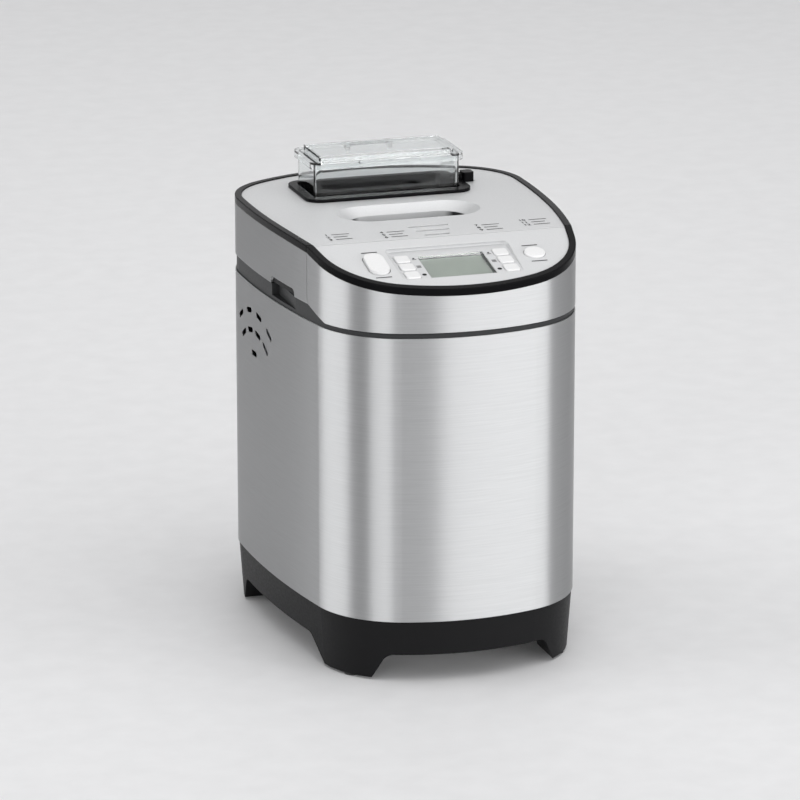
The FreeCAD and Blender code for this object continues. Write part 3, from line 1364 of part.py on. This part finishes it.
os.makedirs("parts", exist_ok=True)
for make in PARTS:
    make().exportStep("parts/" + make.__name__ + ".step")
for number, (u, v) in enumerate(key_spots(), start=1):
    key(u, v).exportStep("parts/key_%d.step" % number)
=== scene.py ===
import json
import math

import bpy
from mathutils import Matrix, Vector


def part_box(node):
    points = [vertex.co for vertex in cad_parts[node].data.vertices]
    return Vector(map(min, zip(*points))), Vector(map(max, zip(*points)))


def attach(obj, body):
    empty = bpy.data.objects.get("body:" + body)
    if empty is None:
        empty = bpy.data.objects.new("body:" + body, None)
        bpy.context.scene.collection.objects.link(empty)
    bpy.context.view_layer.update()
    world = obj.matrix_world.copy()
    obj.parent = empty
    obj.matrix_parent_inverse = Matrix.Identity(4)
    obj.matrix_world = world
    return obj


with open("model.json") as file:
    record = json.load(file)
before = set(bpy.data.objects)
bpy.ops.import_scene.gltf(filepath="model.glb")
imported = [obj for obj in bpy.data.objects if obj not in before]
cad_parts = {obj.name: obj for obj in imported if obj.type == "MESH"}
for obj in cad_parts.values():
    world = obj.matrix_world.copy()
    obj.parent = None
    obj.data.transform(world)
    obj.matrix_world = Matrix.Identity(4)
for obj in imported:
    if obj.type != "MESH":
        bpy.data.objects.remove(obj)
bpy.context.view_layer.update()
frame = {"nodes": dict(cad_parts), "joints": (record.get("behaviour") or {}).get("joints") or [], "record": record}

# Places taken from the frame, and the curve of the lid's top, in metres
LID_TOP_LOW, LID_TOP_HIGH = [Vector(p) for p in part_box("lid_top")]
TOP_Z = LID_TOP_HIGH.z
SEAM_HALF = 0.0004
SEAM_Y = LID_TOP_LOW.y - SEAM_HALF
BEND_Y = -0.010
SEAM_DROP = 0.0015
SLOPE_STEP = 0.001
JOINTS = {joint["name"]: joint for joint in frame["joints"]}
START_AXIS = Vector(JOINTS["start_press"]["axis"])
KEY_AXIS = Vector(JOINTS["key_1_press"]["axis"])
PANEL_TILT = math.atan2(START_AXIS.y, -START_AXIS.z)
POCKET_TILT = math.atan2(KEY_AXIS.y, -KEY_AXIS.z)
POCKET_FRONT = 0.062

# Height of printed marks above the surface
LIFT = 0.00012

# Photograph's camera, in metres and millimetres of lens
CAMERA_AT = (-1.0793, -3.4236, 1.2097)
CAMERA_LOOKS = (0.0, 0.0, 0.160)
CAMERA_LENS = 224.1
CAMERA_SENSOR = 36.0
CAMERA_SHIFT = (-0.01375, 0.02)

# Colours used by more than one material, or in a function
INK = (0.012, 0.012, 0.013)
SILVER = (0.67, 0.675, 0.68)
# Near black painted shade for the window wall's round end
PAINTED_END_SHADE = (0.02, 0.02, 0.02)

# Grain: the steel's brushing, the fine grain of moulded silver, the even grain of clear pieces
BRUSH = (30.0, 30.0, 1300.0)
BRUSH_TURN = 0.25
FINE_SCALE = 2200.0
CLEAR_SCALE = 90.0
EVEN = (1, 1, 1)
NOISE_LOW = 0.3
NOISE_HIGH = 0.7
EDGE_SAMPLES = 4

# Window wall: shares of its half width where the painted shade at each end begins and is full, roughness, relief
WALL_SHADE_FROM = 0.62
WALL_SHADE_FULL = 0.92
WALL_ROUGH = (0.30, 0.40)
WALL_HEIGHT = 0.00001
WALL_EDGE = 0.0005


# Materials

def new_material(name):
    material = bpy.data.materials.new(name)
    material.use_nodes = True
    tree = material.node_tree
    return material, tree, tree.nodes["Principled BSDF"]


def grain(tree, scale, stretch, detail=4.0):
    """Noise in the object's own coordinates, stretched along an axis."""
    coords = tree.nodes.new("ShaderNodeTexCoord")
    mapping = tree.nodes.new("ShaderNodeMapping")
    mapping.inputs["Scale"].default_value = stretch
    noise = tree.nodes.new("ShaderNodeTexNoise")
    noise.inputs["Scale"].default_value = scale
    noise.inputs["Detail"].default_value = detail
    tree.links.new(coords.outputs["Object"], mapping.inputs["Vector"])
    tree.links.new(mapping.outputs["Vector"], noise.inputs["Vector"])
    return noise.outputs["Fac"]


def spread(tree, value, low, high):
    """Noise remapped to a range of values."""
    remap = tree.nodes.new("ShaderNodeMapRange")
    remap.inputs["From Min"].default_value = NOISE_LOW
    remap.inputs["From Max"].default_value = NOISE_HIGH
    remap.inputs["To Min"].default_value = low
    remap.inputs["To Max"].default_value = high
    tree.links.new(value, remap.inputs["Value"])
    return remap.outputs["Result"]


def tint(tree, value, low_colour, high_colour):
    """Colour that goes from one to the other as the value rises."""
    ramp = tree.nodes.new("ShaderNodeValToRGB")
    ramp.color_ramp.elements[0].position = NOISE_LOW
    ramp.color_ramp.elements[1].position = NOISE_HIGH
    ramp.color_ramp.elements[0].color = (*low_colour, 1)
    ramp.color_ramp.elements[1].color = (*high_colour, 1)
    tree.links.new(value, ramp.inputs["Fac"])
    return ramp.outputs["Color"]


def relief(tree, shader, value, height, edge):
    """Fine relief on the surface, over edges rounded to a small radius."""
    bump = tree.nodes.new("ShaderNodeBump")
    bump.inputs["Strength"].default_value = 1.0
    bump.inputs["Distance"].default_value = height
    rounded = tree.nodes.new("ShaderNodeBevel")
    rounded.samples = EDGE_SAMPLES
    rounded.inputs["Radius"].default_value = edge
    tree.links.new(value, bump.inputs["Height"])
    tree.links.new(rounded.outputs["Normal"], bump.inputs["Normal"])
    tree.links.new(bump.outputs["Normal"], shader.inputs["Normal"])


def brushed(tree, shader, amount):
    """Highlights drawn out upright, across brushing that runs round the part."""
    tangent = tree.nodes.new("ShaderNodeTangent")
    tangent.direction_type = "RADIAL"
    tangent.axis = "Z"
    tree.links.new(tangent.outputs["Tangent"], shader.inputs["Tangent"])
    shader.inputs["Anisotropic"].default_value = amount
    shader.inputs["Anisotropic Rotation"].default_value = BRUSH_TURN


def finish_material(name, colour, vary=0.06, rough=(0.3, 0.4), metallic=0.0, scale=600.0, stretch=EVEN,
                    height=0.00002, edge=0.0005, anisotropic=0.0, specular=0.5):
    """Opaque finish: colour and roughness vary with one grain, which also gives the relief."""
    material, tree, shader = new_material(name)
    noise = grain(tree, scale, stretch)
    dark = [c * (1 - vary) for c in colour]
    light = [min(1.0, c * (1 + vary)) for c in colour]
    tree.links.new(tint(tree, noise, dark, light), shader.inputs["Base Color"])
    tree.links.new(spread(tree, noise, *rough), shader.inputs["Roughness"])
    relief(tree, shader, noise, height, edge)
    shader.inputs["Metallic"].default_value = metallic
    shader.inputs["Specular IOR Level"].default_value = specular
    if anisotropic:
        brushed(tree, shader, anisotropic)
    return material


def clear_material(name, colour, rough=(0.01, 0.05), ior=1.49, vary=0.02):
    """Clear finish with a faint variation of tint and polish."""
    material, tree, shader = new_material(name)
    noise = grain(tree, CLEAR_SCALE, EVEN)
    light = [min(1.0, c * (1 + vary)) for c in colour]
    tree.links.new(tint(tree, noise, colour, light), shader.inputs["Base Color"])
    tree.links.new(spread(tree, noise, *rough), shader.inputs["Roughness"])
    shader.inputs["Transmission Weight"].default_value = 1.0
    shader.inputs["IOR"].default_value = ior
    return material


def window_wall_material():
    """Satin silver, with painted shade that darkens it towards each round end of the window."""
    low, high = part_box("window_tube")
    middle = (low[0] + high[0]) / 2
    half = (high[0] - low[0]) / 2
    material, tree, shader = new_material("window_wall")
    place = tree.nodes.new("ShaderNodeNewGeometry")
    split = tree.nodes.new("ShaderNodeSeparateXYZ")
    away = tree.nodes.new("ShaderNodeMath")
    away.operation = "SUBTRACT"
    away.inputs[1].default_value = middle
    reach = tree.nodes.new("ShaderNodeMath")
    reach.operation = "ABSOLUTE"
    # Painted shade: its strength grows with the distance from the middle of the window
    end_shade = tree.nodes.new("ShaderNodeMapRange")
    end_shade.inputs["From Min"].default_value = half * WALL_SHADE_FROM
    end_shade.inputs["From Max"].default_value = half * WALL_SHADE_FULL
    tree.links.new(place.outputs["Position"], split.inputs["Vector"])
    tree.links.new(split.outputs["X"], away.inputs[0])
    tree.links.new(away.outputs["Value"], reach.inputs[0])
    tree.links.new(reach.outputs["Value"], end_shade.inputs["Value"])
    # Painted shade: the silver blends to near black towards each round end of the window
    tree.links.new(tint(tree, end_shade.outputs["Result"], SILVER, PAINTED_END_SHADE), shader.inputs["Base Color"])
    noise = grain(tree, FINE_SCALE, EVEN)
    tree.links.new(spread(tree, noise, *WALL_ROUGH), shader.inputs["Roughness"])
    relief(tree, shader, noise, WALL_HEIGHT, WALL_EDGE)
    return material


MATERIALS = {
    "brushed_steel": finish_material(
        "brushed_steel", (0.50, 0.505, 0.51), vary=0.06, rough=(0.38, 0.47), metallic=1.0, scale=1.0,
        stretch=BRUSH, height=0.000003, edge=0.0004, anisotropic=0.95),
    "black_plastic": finish_material(
        "black_plastic", (0.0035, 0.0035, 0.004), rough=(0.40, 0.52), height=0.00003, specular=0.16),
    "grey_plastic": finish_material(
        "grey_plastic", (0.022, 0.023, 0.024), rough=(0.42, 0.52), height=0.00003, specular=0.25),
    "gloss_black": finish_material(
        "gloss_black", (0.003, 0.003, 0.0035), rough=(0.22, 0.28), height=0.0000005, edge=0.0016,
        specular=0.06),
    "silver_plastic": finish_material(
        "silver_plastic", SILVER, rough=(0.48, 0.56), metallic=0.5, scale=FINE_SCALE,
        height=0.00001, edge=0.0009),
    "panel_silver": finish_material(
        "panel_silver", (0.63, 0.635, 0.64), rough=(0.46, 0.54), metallic=0.4, scale=FINE_SCALE,
        height=0.00001, edge=0.0009),
    "window_wall": window_wall_material(),
    "key_white": finish_material(
        "key_white", (0.75, 0.75, 0.75), vary=0.02, rough=(0.28, 0.36), height=0.00001, edge=0.0010),
    "clear_plastic": clear_material("clear_plastic", (0.93, 0.95, 0.95)),
    "glass": clear_material("glass", (0.95, 0.97, 0.965), ior=1.5),
    "lcd": finish_material(
        "lcd", (0.43, 0.49, 0.41), vary=0.10, rough=(0.3, 0.4), scale=30.0, height=0.000002, edge=0.0002),
    "rubber": finish_material("rubber", (0.02, 0.02, 0.02), rough=(0.7, 0.85), height=0.00005),
    "steel_parts": finish_material(
        "steel_parts", (0.56, 0.56, 0.57), rough=(0.18, 0.30), metallic=1.0, scale=300.0, height=0.000006),
    "aluminium": finish_material(
        "aluminium", (0.66, 0.67, 0.68), rough=(0.32, 0.45), metallic=1.0, scale=400.0, height=0.00001),
    "pan_coating": finish_material(
        "pan_coating", (0.045, 0.045, 0.05), rough=(0.35, 0.5), metallic=0.4, scale=1800.0, height=0.00003),
    "element_sheath": finish_material(
        "element_sheath", (0.12, 0.125, 0.13), vary=0.2, rough=(0.45, 0.6), metallic=0.8, height=0.00002),
    "motor_iron": finish_material("motor_iron", (0.2, 0.2, 0.21), vary=0.15, rough=(0.45, 0.6), metallic=0.7),
    "circuit_board": finish_material("circuit_board", (0.04, 0.16, 0.08), vary=0.15, rough=(0.4, 0.5)),
    "ink": finish_material("ink", INK, rough=(0.5, 0.6), height=0.000001, edge=0.00005, specular=0.2),
    "floor": finish_material(
        "floor", (0.80, 0.80, 0.805), vary=0.02, rough=(0.6, 0.7), scale=40.0, height=0.00001, edge=0.0001,
        specular=0.15),
}

# Pieces that look different from the rest of their slot
KEY_COUNT = 6
SPECIAL = {
    "control_panel": "panel_silver",
    "start_button": "key_white",
    "program_rocker": "key_white",
    "window_tube": "window_wall",
}
SPECIAL.update({"key_%d" % key: "key_white" for key in range(1, KEY_COUNT + 1)})


def paint(piece, name):
    if piece.data.materials:
        for index in range(len(piece.data.materials)):
            piece.data.materials[index] = MATERIALS[name]
    else:
        piece.data.materials.append(MATERIALS[name])


for part in frame["record"]["subparts"]:
    paint(frame["nodes"][part["node"]], SPECIAL.get(part["node"], part["material_slot"]))


# Coordinates on the top and the panel

def top_height(y):
    """Height of the lid's top surface at a depth y."""
    if y >= BEND_Y:
        return TOP_Z
    share = (BEND_Y - y) / (BEND_Y - SEAM_Y)
    return TOP_Z - SEAM_DROP * share * share


def tilted(origin, angle):
    return Matrix.Translation(origin) @ Matrix.Rotation(angle, 4, "X")


PANEL = tilted(Vector((0, SEAM_Y, TOP_Z - SEAM_DROP)), PANEL_TILT)
POCKET = PANEL @ tilted(Vector((0, -POCKET_FRONT, 0)), POCKET_TILT - PANEL_TILT)


def lid_spot(x, y):
    rise = top_height(y + SLOPE_STEP) - top_height(y - SLOPE_STEP)
    slope = math.atan2(rise, 2 * SLOPE_STEP)
    return tilted(Vector((x, y, top_height(y) + LIFT)), slope)


def panel_spot(u, v):
    return PANEL @ Matrix.Translation((u, v, LIFT))


def pocket_spot(u, v):
    return POCKET @ Matrix.Translation((u, v, LIFT))


# Printed marks

def printed(name, mesh, spot, body):
    piece = bpy.data.objects.new(name, mesh)
    bpy.context.scene.collection.objects.link(piece)
    piece.matrix_world = spot
    paint(piece, "ink")
    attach(piece, body)


def flat_mesh(name, loops):
    """Flat faces from closed loops of points."""
    verts = []
    faces = []
    for loop in loops:
        faces.append(list(range(len(verts), len(verts) + len(loop))))
        verts += [(x, y, 0.0) for x, y in loop]
    mesh = bpy.data.meshes.new(name)
    mesh.from_pydata(verts, [], faces)
    return mesh


def bar(x, y, length, width):
    low = y - width / 2
    high = y + width / 2
    return [(x, low), (x + length, low), (x + length, high), (x, high)]


def disc(x, y, r, sides=20):
    turns = [2 * math.pi * n / sides for n in range(sides)]
    return [(x + r * math.cos(turn), y + r * math.sin(turn)) for turn in turns]


# Program lists: plain numbers, each with a short rule
LIST_SPOTS = ((-0.078, -0.046), (-0.037, -0.050), (0.036, -0.050), (0.074, -0.046))
LIST_ROWS = 3
ROW_STEP = 0.0062
RULE_START = 0.0025
RULE_LENGTHS = (0.0135, 0.0105, 0.0125)
RULE_WIDTH = 0.0011
NUMBER_SIZE = 0.0056
NUMBER_BOLD = 0.00008


def number(name, text, spot, body):
    curve = bpy.data.curves.new(name, "FONT")
    curve.body = text
    curve.size = NUMBER_SIZE
    curve.offset = NUMBER_BOLD
    curve.align_x = "RIGHT"
    curve.align_y = "CENTER"
    printed(name, curve, spot, body)


def program_lists():
    count = 1
    for x, y in LIST_SPOTS:
        for row in range(LIST_ROWS):
            spot = lid_spot(x, y - row * ROW_STEP)
            number("program_number_%d" % count, str(count), spot, "lid")
            name = "program_rule_%d" % count
            rule = flat_mesh(name, [bar(RULE_START, 0, RULE_LENGTHS[row], RULE_WIDTH)])
            printed(name, rule, spot, "lid")
            count += 1


# Small signs beside the keys: a dot, three bars, and a dot over a bar
SIGN_U = 0.0285
KEY_V = (0.0075, 0.021, 0.034)
SIGN_R = 0.0017
BARS_STEP = 0.8 * SIGN_R
BARS_WIDTH = 0.35 * SIGN_R
LOW_BAR_V = -0.6 * SIGN_R
LOW_BAR_WIDTH = 0.4 * SIGN_R
SMALL_DOT = 0.5 * SIGN_R

# Rules above and below the rocker and the start button: their middles on the panel
PANEL_RULES = {
    "rocker_rule_upper": (-0.059, -0.0165),
    "rocker_rule_lower": (-0.059, -0.0545),
    "start_rule_upper": (0.061, -0.024),
    "start_rule_lower": (0.061, -0.048),
}
PANEL_RULE_LENGTH = 0.012
PANEL_RULE_WIDTH = 0.0011


def key_sign(row):
    if row == 0:
        return [disc(0, 0, SIGN_R)]
    if row == 1:
        return [bar(-SIGN_R, step * BARS_STEP, 2 * SIGN_R, BARS_WIDTH) for step in (-1, 0, 1)]
    return [bar(-SIGN_R, LOW_BAR_V, 2 * SIGN_R, LOW_BAR_WIDTH), disc(0, SMALL_DOT, SMALL_DOT)]


def panel_signs():
    for side, label in ((-1, "left"), (1, "right")):
        for row, v in enumerate(KEY_V):
            name = "key_sign_%s_%d" % (label, row + 1)
            sign = flat_mesh(name, key_sign(row))
            printed(name, sign, pocket_spot(side * SIGN_U, v), "housing")
    for name, (u, v) in PANEL_RULES.items():
        rule = flat_mesh(name, [bar(-PANEL_RULE_LENGTH / 2, 0, PANEL_RULE_LENGTH, PANEL_RULE_WIDTH)])
        printed(name, rule, panel_spot(u, v), "housing")


program_lists()
panel_signs()

# Floor, and soft lamps aimed at the middle of the part: place, width and height, watts
FLOOR_SIZE = 9.0
MIDDLE = (0.0, 0.0, 0.18)
LAMPS = {
    "front_right": ((7.2, -9.7, 1.74), (17.6, 3.6), 1144.0),
    "front_left": ((-8.6, -9.2, 1.74), (6.0, 3.6), 330.0),
    "rear_left": ((-9.7, 3.2, 1.74), (9.0, 3.6), 400.0),
    "overhead": ((0.1, 0.1, 2.6), (4.0, 4.0), 43.0),
}

# Brightness of the room round the part, as turns from the left side by way of the front
ROOM = ((0.0, 0.80), (0.05, 0.03), (0.10, 0.40), (0.16, 1.0), (0.27, 0.95), (0.33, 0.90), (0.42, 0.85),
        (0.50, 0.60), (0.60, 0.03), (0.67, 0.85), (0.74, 0.80), (0.79, 0.02), (0.87, 0.25), (0.95, 0.70),
        (1.0, 0.80))
ROOM_STRENGTH = 0.8
ROOM_BLUE = 1.01


def floor_plane():
    half = FLOOR_SIZE / 2
    mesh = flat_mesh("floor", [[(-half, -half), (half, -half), (half, half), (-half, half)]])
    plane = bpy.data.objects.new("floor", mesh)
    bpy.context.scene.collection.objects.link(plane)
    paint(plane, "floor")


def aimed(location, target):
    direction = Vector(target) - Vector(location)
    turn = direction.to_track_quat("-Z", "Y").to_matrix().to_4x4()
    return Matrix.Translation(location) @ turn


def soft_light(name, location, size, watts):
    lamp = bpy.data.lights.new(name, "AREA")
    lamp.shape = "RECTANGLE"
    lamp.size, lamp.size_y = size
    lamp.energy = watts
    light = bpy.data.objects.new(name, lamp)
    bpy.context.scene.collection.objects.link(light)
    light.matrix_world = aimed(location, MIDDLE)


def room_light():
    world = bpy.data.worlds.new("studio")
    bpy.context.scene.world = world
    world.use_nodes = True
    tree = world.node_tree
    coords = tree.nodes.new("ShaderNodeTexCoord")
    turn = tree.nodes.new("ShaderNodeTexGradient")
    turn.gradient_type = "RADIAL"
    ramp = tree.nodes.new("ShaderNodeValToRGB")
    ramp.color_ramp.interpolation = "EASE"
    stops = ramp.color_ramp.elements
    while len(stops) < len(ROOM):
        stops.new(0.5)
    for stop, (place, level) in zip(stops, ROOM):
        stop.position = place
        stop.color = (level, level, level * ROOM_BLUE, 1)
    tree.links.new(coords.outputs["Generated"], turn.inputs["Vector"])
    tree.links.new(turn.outputs["Fac"], ramp.inputs["Fac"])
    background = tree.nodes["Background"]
    tree.links.new(ramp.outputs["Color"], background.inputs["Color"])
    background.inputs["Strength"].default_value = ROOM_STRENGTH


def photo_camera():
    lens = bpy.data.cameras.new("camera")
    lens.lens = CAMERA_LENS
    lens.sensor_width = CAMERA_SENSOR
    lens.shift_x, lens.shift_y = CAMERA_SHIFT
    camera = bpy.data.objects.new("camera", lens)
    bpy.context.scene.collection.objects.link(camera)
    camera.matrix_world = aimed(CAMERA_AT, CAMERA_LOOKS)
    bpy.context.scene.camera = camera


floor_plane()
for lamp_name, (lamp_at, lamp_size, lamp_watts) in LAMPS.items():
    soft_light(lamp_name, lamp_at, lamp_size, lamp_watts)
room_light()
photo_camera()
bpy.context.scene.view_settings.view_transform = "Standard"
